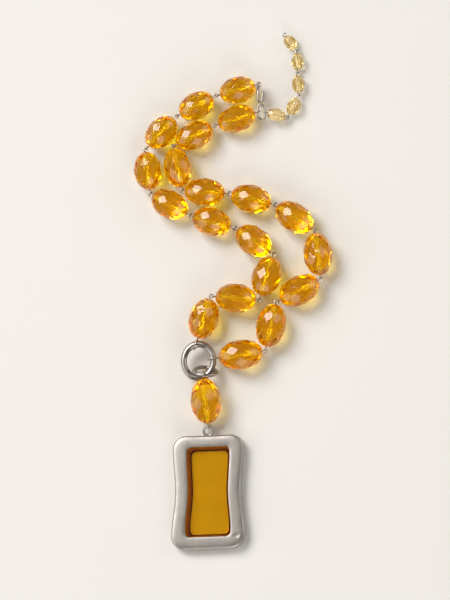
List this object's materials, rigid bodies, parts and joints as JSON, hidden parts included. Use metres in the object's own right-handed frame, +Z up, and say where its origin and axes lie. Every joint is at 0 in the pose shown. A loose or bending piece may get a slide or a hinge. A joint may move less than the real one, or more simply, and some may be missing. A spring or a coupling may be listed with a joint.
{
  "type": "pendant necklace",
  "caption": "Bead-link necklace laid in an S: faceted oval amber beads on eye wires, centre ring, hook and extender, and a waisted metal tray pendant with a resin inset.",
  "frame": {"origin": "middle of the lowest plane of the whole piece, on the surface it lies on", "axes": "+Y from the pendant to the clasp end, +X across the strands, +Z up from the surface"},
  "size_m": [0.1016, 0.2666, 0.0166],
  "materials": {
    "amber_bead": "clear amber, faceted and polished",
    "honey_bead": "pale honey, faceted and polished",
    "eye_wire": "bright drawn wire",
    "ring_steel": "satin, worn bright on the high spots",
    "pewter": "satin cast pewter with soft rounded edges",
    "amber_resin": "deep amber, satin surface"
  },
  "bodies": {
    "centre_ring": {"centre_ring": "ring_steel"},
    "drop_ring": {"drop_ring": "ring_steel"},
    "drop_wire": {"drop_wire": "eye_wire"},
    "drop_bead": {"drop_bead": "amber_bead"},
    "pendant": {"pendant_frame": "pewter", "resin_inset": "amber_resin"},
    "hook_strand_wire_01": {"hook_strand_wire_01": "eye_wire"},
    "hook_strand_bead_01": {"hook_strand_bead_01": "amber_bead"},
    "hook_strand_wire_02": {"hook_strand_wire_02": "eye_wire"},
    "hook_strand_bead_02": {"hook_strand_bead_02": "amber_bead"},
    "hook_strand_wire_03": {"hook_strand_wire_03": "eye_wire"},
    "hook_strand_bead_03": {"hook_strand_bead_03": "amber_bead"},
    "hook_strand_wire_04": {"hook_strand_wire_04": "eye_wire"},
    "hook_strand_bead_04": {"hook_strand_bead_04": "amber_bead"},
    "hook_strand_wire_05": {"hook_strand_wire_05": "eye_wire"},
    "hook_strand_bead_05": {"hook_strand_bead_05": "amber_bead"},
    "hook_strand_wire_06": {"hook_strand_wire_06": "eye_wire"},
    "hook_strand_bead_06": {"hook_strand_bead_06": "amber_bead"},
    "hook_strand_wire_07": {"hook_strand_wire_07": "eye_wire"},
    "hook_strand_bead_07": {"hook_strand_bead_07": "amber_bead"},
    "hook_strand_wire_08": {"hook_strand_wire_08": "eye_wire"},
    "hook_strand_bead_08": {"hook_strand_bead_08": "amber_bead"},
    "hook_strand_wire_09": {"hook_strand_wire_09": "eye_wire"},
    "hook_strand_bead_09": {"hook_strand_bead_09": "amber_bead"},
    "hook_strand_wire_10": {"hook_strand_wire_10": "eye_wire"},
    "hook_strand_bead_10": {"hook_strand_bead_10": "amber_bead"},
    "clasp_hook": {"clasp_hook": "ring_steel"},
    "extender_strand_wire_01": {"extender_strand_wire_01": "eye_wire"},
    "extender_strand_bead_01": {"extender_strand_bead_01": "amber_bead"},
    "extender_strand_wire_02": {"extender_strand_wire_02": "eye_wire"},
    "extender_strand_bead_02": {"extender_strand_bead_02": "amber_bead"},
    "extender_strand_wire_03": {"extender_strand_wire_03": "eye_wire"},
    "extender_strand_bead_03": {"extender_strand_bead_03": "amber_bead"},
    "extender_strand_wire_04": {"extender_strand_wire_04": "eye_wire"},
    "extender_strand_bead_04": {"extender_strand_bead_04": "amber_bead"},
    "extender_strand_wire_05": {"extender_strand_wire_05": "eye_wire"},
    "extender_strand_bead_05": {"extender_strand_bead_05": "amber_bead"},
    "extender_strand_wire_06": {"extender_strand_wire_06": "eye_wire"},
    "extender_strand_bead_06": {"extender_strand_bead_06": "amber_bead"},
    "extender_strand_wire_07": {"extender_strand_wire_07": "eye_wire"},
    "extender_strand_bead_07": {"extender_strand_bead_07": "amber_bead"},
    "extender_strand_wire_08": {"extender_strand_wire_08": "eye_wire"},
    "extender_strand_bead_08": {"extender_strand_bead_08": "amber_bead"},
    "extender_strand_wire_09": {"extender_strand_wire_09": "eye_wire"},
    "extender_strand_bead_09": {"extender_strand_bead_09": "amber_bead"},
    "extender_strand_wire_10": {"extender_strand_wire_10": "eye_wire"},
    "extender_strand_bead_10": {"extender_strand_bead_10": "amber_bead"},
    "end_ring": {"end_ring": "ring_steel"},
    "extender_wire_1": {"extender_wire_1": "eye_wire"},
    "extender_bead_1": {"extender_bead_1": "honey_bead"},
    "extender_wire_2": {"extender_wire_2": "eye_wire"},
    "extender_bead_2": {"extender_bead_2": "honey_bead"},
    "extender_wire_3": {"extender_wire_3": "eye_wire"},
    "extender_bead_3": {"extender_bead_3": "honey_bead"},
    "extender_wire_4": {"extender_wire_4": "eye_wire"},
    "extender_bead_4": {"extender_bead_4": "honey_bead"},
    "extender_wire_5": {"extender_wire_5": "eye_wire"},
    "extender_bead_5": {"extender_bead_5": "honey_bead"}
  },
  "joints": [
    {"name": "drop_ring_swing", "type": "hinge", "parent": "centre_ring", "child": "drop_ring", "pos_m": [-0.01157, -0.04302, 0.00772], "axis": [0.6042, 0.7969, 0], "range_deg": [-2, 36]},
    {"name": "drop_lift", "type": "hinge", "parent": "drop_ring", "child": "drop_wire", "pos_m": [-0.01416, -0.04524, 0.01276], "axis": [-0.9981, -0.061, 0], "range_deg": [0, 75]},
    {"name": "pendant_lift", "type": "hinge", "parent": "drop_wire", "child": "pendant", "pos_m": [-0.01262, -0.0704, 0.00457], "axis": [-1, 0, 0], "range_deg": [-60, 75]},
    {"name": "hook_strand_lift_01", "type": "hinge", "parent": "centre_ring", "child": "hook_strand_wire_01", "pos_m": [-0.01858, -0.02882, 0.00772], "axis": [0.9563, -0.2924, 0], "range_deg": [-60, 60]},
    {"name": "extender_strand_lift_01", "type": "hinge", "parent": "centre_ring", "child": "extender_strand_wire_01", "pos_m": [-0.00978, -0.03629, 0.00772], "axis": [-0.1392, 0.9903, 0], "range_deg": [-31, 31]},
    {"name": "hook_strand_lift_02", "type": "hinge", "parent": "hook_strand_wire_01", "child": "hook_strand_wire_02", "pos_m": [-0.01006, -0.00429, 0.00768], "axis": [0.0872, 0.9962, 0], "range_deg": [-30, 30]},
    {"name": "extender_strand_lift_02", "type": "hinge", "parent": "extender_strand_wire_01", "child": "extender_strand_wire_02", "pos_m": [0.01689, -0.0316, 0.00768], "axis": [0.9744, -0.225, 0], "range_deg": [-50, 50]},
    {"name": "hook_strand_lift_03", "type": "hinge", "parent": "hook_strand_wire_02", "child": "hook_strand_wire_03", "pos_m": [0.01385, -0.0054, 0.0076], "axis": [0.9511, -0.309, 0], "range_deg": [-35, 35]},
    {"name": "extender_strand_lift_03", "type": "hinge", "parent": "extender_strand_wire_02", "child": "extender_strand_wire_03", "pos_m": [0.02331, -0.00716, 0.0076], "axis": [-0.454, 0.891, 0], "range_deg": [-40, 40]},
    {"name": "hook_strand_lift_04", "type": "hinge", "parent": "hook_strand_wire_03", "child": "hook_strand_wire_04", "pos_m": [0.02028, 0.01747, 0.00753], "axis": [-0.5736, -0.8192, 0], "range_deg": [-50, 50]},
    {"name": "extender_strand_lift_04", "type": "hinge", "parent": "extender_strand_wire_03", "child": "extender_strand_wire_04", "pos_m": [0.04488, 0.00487, 0.00753], "axis": [0.9945, 0.1045, 0], "range_deg": [-48, 48]},
    {"name": "hook_strand_lift_05", "type": "hinge", "parent": "hook_strand_wire_04", "child": "hook_strand_wire_05", "pos_m": [0.00033, 0.03106, 0.00745], "axis": [0.2924, 0.9563, 0], "range_deg": [-60, 60]},
    {"name": "extender_strand_lift_05", "type": "hinge", "parent": "extender_strand_wire_04", "child": "extender_strand_wire_05", "pos_m": [0.04154, 0.02933, 0.00745], "axis": [-0.5592, -0.829, 0], "range_deg": [-60, 60]},
    {"name": "hook_strand_lift_06", "type": "hinge", "parent": "hook_strand_wire_05", "child": "hook_strand_wire_06", "pos_m": [-0.02249, 0.03825, 0.00737], "axis": [-0.4848, -0.8746, 0], "range_deg": [-60, 60]},
    {"name": "extender_strand_lift_06", "type": "hinge", "parent": "extender_strand_wire_05", "child": "extender_strand_wire_06", "pos_m": [0.02089, 0.04287, 0.00737], "axis": [0.2588, 0.9659, 0], "range_deg": [-60, 60]},
    {"name": "hook_strand_lift_07", "type": "hinge", "parent": "hook_strand_wire_06", "child": "hook_strand_wire_07", "pos_m": [-0.04245, 0.05025, 0.00729], "axis": [0.9925, 0.1219, 0], "range_deg": [-60, 60]},
    {"name": "extender_strand_lift_07", "type": "hinge", "parent": "extender_strand_wire_06", "child": "extender_strand_wire_07", "pos_m": [-0.00277, 0.04901, 0.00729], "axis": [-0.0698, -0.9976, 0], "range_deg": [-60, 60]},
    {"name": "hook_strand_lift_08", "type": "hinge", "parent": "hook_strand_wire_07", "child": "hook_strand_wire_08", "pos_m": [-0.0445, 0.07325, 0.00722], "axis": [-0.7314, 0.682, 0], "range_deg": [-60, 60]},
    {"name": "extender_strand_lift_08", "type": "hinge", "parent": "extender_strand_wire_07", "child": "extender_strand_wire_08", "pos_m": [-0.02608, 0.0516, 0.00722], "axis": [0.9781, 0.2079, 0], "range_deg": [-38, 38]},
    {"name": "hook_strand_lift_09", "type": "hinge", "parent": "hook_strand_wire_08", "child": "hook_strand_wire_09", "pos_m": [-0.02848, 0.08992, 0.00714], "axis": [0.454, -0.891, 0], "range_deg": [-60, 60]},
    {"name": "extender_strand_lift_09", "type": "hinge", "parent": "extender_strand_wire_08", "child": "extender_strand_wire_09", "pos_m": [-0.02994, 0.07442, 0.00714], "axis": [-0.4384, 0.8988, 0], "range_deg": [-40, 40]},
    {"name": "hook_strand_lift_10", "type": "hinge", "parent": "hook_strand_wire_09", "child": "hook_strand_wire_10", "pos_m": [-0.00797, 0.10012, 0.00706], "axis": [-0.2419, 0.9703, 0], "range_deg": [-60, 60]},
    {"name": "extender_strand_lift_10", "type": "hinge", "parent": "extender_strand_wire_09", "child": "extender_strand_wire_10", "pos_m": [-0.00868, 0.08461, 0.00706], "axis": [0.2924, -0.9563, 0], "range_deg": [-60, 60]},
    {"name": "hook_lift", "type": "hinge", "parent": "hook_strand_wire_10", "child": "clasp_hook", "pos_m": [0.01317, 0.10422, 0.00702], "axis": [-0.9976, 0.0698, 0], "range_deg": [-60, 60]},
    {"name": "end_ring_lift", "type": "hinge", "parent": "extender_strand_wire_10", "child": "end_ring", "pos_m": [0.01283, 0.09119, 0.00702], "axis": [0.0698, -0.9976, 0], "range_deg": [-45, 45]},
    {"name": "extender_lift_1", "type": "hinge", "parent": "end_ring", "child": "extender_wire_1", "pos_m": [0.01655, 0.09105, 0.00702], "axis": [-0.2079, -0.9781, 0], "range_deg": [-60, 60]},
    {"name": "extender_lift_2", "type": "hinge", "parent": "extender_wire_1", "child": "extender_wire_2", "pos_m": [0.02831, 0.08944, 0.00337], "axis": [-0.8829, 0.4695, 0], "range_deg": [-60, 60]},
    {"name": "extender_lift_3", "type": "hinge", "parent": "extender_wire_2", "child": "extender_wire_3", "pos_m": [0.03366, 0.10049, 0.00331], "axis": [0.9986, 0.0523, 0], "range_deg": [-60, 60]},
    {"name": "extender_lift_4", "type": "hinge", "parent": "extender_wire_3", "child": "extender_wire_4", "pos_m": [0.03308, 0.11248, 0.00325], "axis": [-1, 0, 0], "range_deg": [-60, 60]},
    {"name": "extender_lift_5", "type": "hinge", "parent": "extender_wire_4", "child": "extender_wire_5", "pos_m": [0.03254, 0.12389, 0.00318], "axis": [0.7986, 0.6018, 0], "range_deg": [-60, 60]},
    {"name": "drop_spin", "type": "hinge", "parent": "drop_wire", "child": "drop_bead", "pos_m": [-0.01416, -0.04524, 0.01276], "axis": [0.0581, -0.9493, -0.309], "continuous": true},
    {"name": "hook_strand_spin_01", "type": "hinge", "parent": "hook_strand_wire_01", "child": "hook_strand_bead_01", "pos_m": [-0.01858, -0.02882, 0.00772], "axis": [0.2924, 0.9563, -0.0015], "continuous": true},
    {"name": "hook_strand_spin_02", "type": "hinge", "parent": "hook_strand_wire_02", "child": "hook_strand_bead_02", "pos_m": [-0.01006, -0.00429, 0.00768], "axis": [0.9962, -0.0872, -0.0033], "continuous": true},
    {"name": "hook_strand_spin_03", "type": "hinge", "parent": "hook_strand_wire_03", "child": "hook_strand_bead_03", "pos_m": [0.01385, -0.0054, 0.0076], "axis": [0.309, 0.9511, -0.0033], "continuous": true},
    {"name": "hook_strand_spin_04", "type": "hinge", "parent": "hook_strand_wire_04", "child": "hook_strand_bead_04", "pos_m": [0.02028, 0.01747, 0.00753], "axis": [-0.8191, 0.5736, -0.0034], "continuous": true},
    {"name": "hook_strand_spin_05", "type": "hinge", "parent": "hook_strand_wire_05", "child": "hook_strand_bead_05", "pos_m": [0.00033, 0.03106, 0.00745], "axis": [-0.9563, 0.2924, -0.0034], "continuous": true},
    {"name": "hook_strand_spin_06", "type": "hinge", "parent": "hook_strand_wire_06", "child": "hook_strand_bead_06", "pos_m": [-0.02249, 0.03825, 0.00737], "axis": [-0.8746, 0.4848, -0.0034], "continuous": true},
    {"name": "hook_strand_spin_07", "type": "hinge", "parent": "hook_strand_wire_07", "child": "hook_strand_bead_07", "pos_m": [-0.04245, 0.05025, 0.00729], "axis": [-0.1219, 0.9925, -0.0035], "continuous": true},
    {"name": "hook_strand_spin_08", "type": "hinge", "parent": "hook_strand_wire_08", "child": "hook_strand_bead_08", "pos_m": [-0.0445, 0.07325, 0.00722], "axis": [0.682, 0.7313, -0.0035], "continuous": true},
    {"name": "hook_strand_spin_09", "type": "hinge", "parent": "hook_strand_wire_09", "child": "hook_strand_bead_09", "pos_m": [-0.02848, 0.08992, 0.00714], "axis": [0.891, 0.454, -0.0035], "continuous": true},
    {"name": "hook_strand_spin_10", "type": "hinge", "parent": "hook_strand_wire_10", "child": "hook_strand_bead_10", "pos_m": [-0.00797, 0.10012, 0.00706], "axis": [0.9703, 0.2419, -0.0018], "continuous": true},
    {"name": "extender_strand_spin_01", "type": "hinge", "parent": "extender_strand_wire_01", "child": "extender_strand_bead_01", "pos_m": [-0.00978, -0.03629, 0.00772], "axis": [0.9903, 0.1392, -0.0015], "continuous": true},
    {"name": "extender_strand_spin_02", "type": "hinge", "parent": "extender_strand_wire_02", "child": "extender_strand_bead_02", "pos_m": [0.01689, -0.0316, 0.00768], "axis": [0.225, 0.9744, -0.0032], "continuous": true},
    {"name": "extender_strand_spin_03", "type": "hinge", "parent": "extender_strand_wire_03", "child": "extender_strand_bead_03", "pos_m": [0.02331, -0.00716, 0.0076], "axis": [0.891, 0.454, -0.0032], "continuous": true},
    {"name": "extender_strand_spin_04", "type": "hinge", "parent": "extender_strand_wire_04", "child": "extender_strand_bead_04", "pos_m": [0.04488, 0.00487, 0.00753], "axis": [-0.1045, 0.9945, -0.0032], "continuous": true},
    {"name": "extender_strand_spin_05", "type": "hinge", "parent": "extender_strand_wire_05", "child": "extender_strand_bead_05", "pos_m": [0.04154, 0.02933, 0.00745], "axis": [-0.829, 0.5592, -0.0033], "continuous": true},
    {"name": "extender_strand_spin_06", "type": "hinge", "parent": "extender_strand_wire_06", "child": "extender_strand_bead_06", "pos_m": [0.02089, 0.04287, 0.00737], "axis": [-0.9659, 0.2588, -0.0033], "continuous": true},
    {"name": "extender_strand_spin_07", "type": "hinge", "parent": "extender_strand_wire_07", "child": "extender_strand_bead_07", "pos_m": [-0.00277, 0.04901, 0.00729], "axis": [-0.9976, 0.0698, -0.0034], "continuous": true},
    {"name": "extender_strand_spin_08", "type": "hinge", "parent": "extender_strand_wire_08", "child": "extender_strand_bead_08", "pos_m": [-0.02608, 0.0516, 0.00722], "axis": [-0.2079, 0.9781, -0.0034], "continuous": true},
    {"name": "extender_strand_spin_09", "type": "hinge", "parent": "extender_strand_wire_09", "child": "extender_strand_bead_09", "pos_m": [-0.02994, 0.07442, 0.00714], "axis": [0.8988, 0.4384, -0.0034], "continuous": true},
    {"name": "extender_strand_spin_10", "type": "hinge", "parent": "extender_strand_wire_10", "child": "extender_strand_bead_10", "pos_m": [-0.00868, 0.08461, 0.00706], "axis": [0.9563, 0.2924, -0.0017], "continuous": true},
    {"name": "extender_spin_1", "type": "hinge", "parent": "extender_wire_1", "child": "extender_bead_1", "pos_m": [0.01655, 0.09105, 0.00702], "axis": [0.933, -0.1983, -0.3004], "continuous": true},
    {"name": "extender_spin_2", "type": "hinge", "parent": "extender_wire_2", "child": "extender_bead_2", "pos_m": [0.02831, 0.08944, 0.00337], "axis": [0.4695, 0.8829, -0.0054], "continuous": true},
    {"name": "extender_spin_3", "type": "hinge", "parent": "extender_wire_3", "child": "extender_bead_3", "pos_m": [0.03366, 0.10049, 0.00331], "axis": [-0.0523, 0.9986, -0.0056], "continuous": true},
    {"name": "extender_spin_4", "type": "hinge", "parent": "extender_wire_4", "child": "extender_bead_4", "pos_m": [0.03308, 0.11248, 0.00325], "axis": [0, 1, -0.0058], "continuous": true},
    {"name": "extender_spin_5", "type": "hinge", "parent": "extender_wire_5", "child": "extender_bead_5", "pos_m": [0.03254, 0.12389, 0.00318], "axis": [-0.6018, 0.7986, -0.0061], "continuous": true}
  ]
}
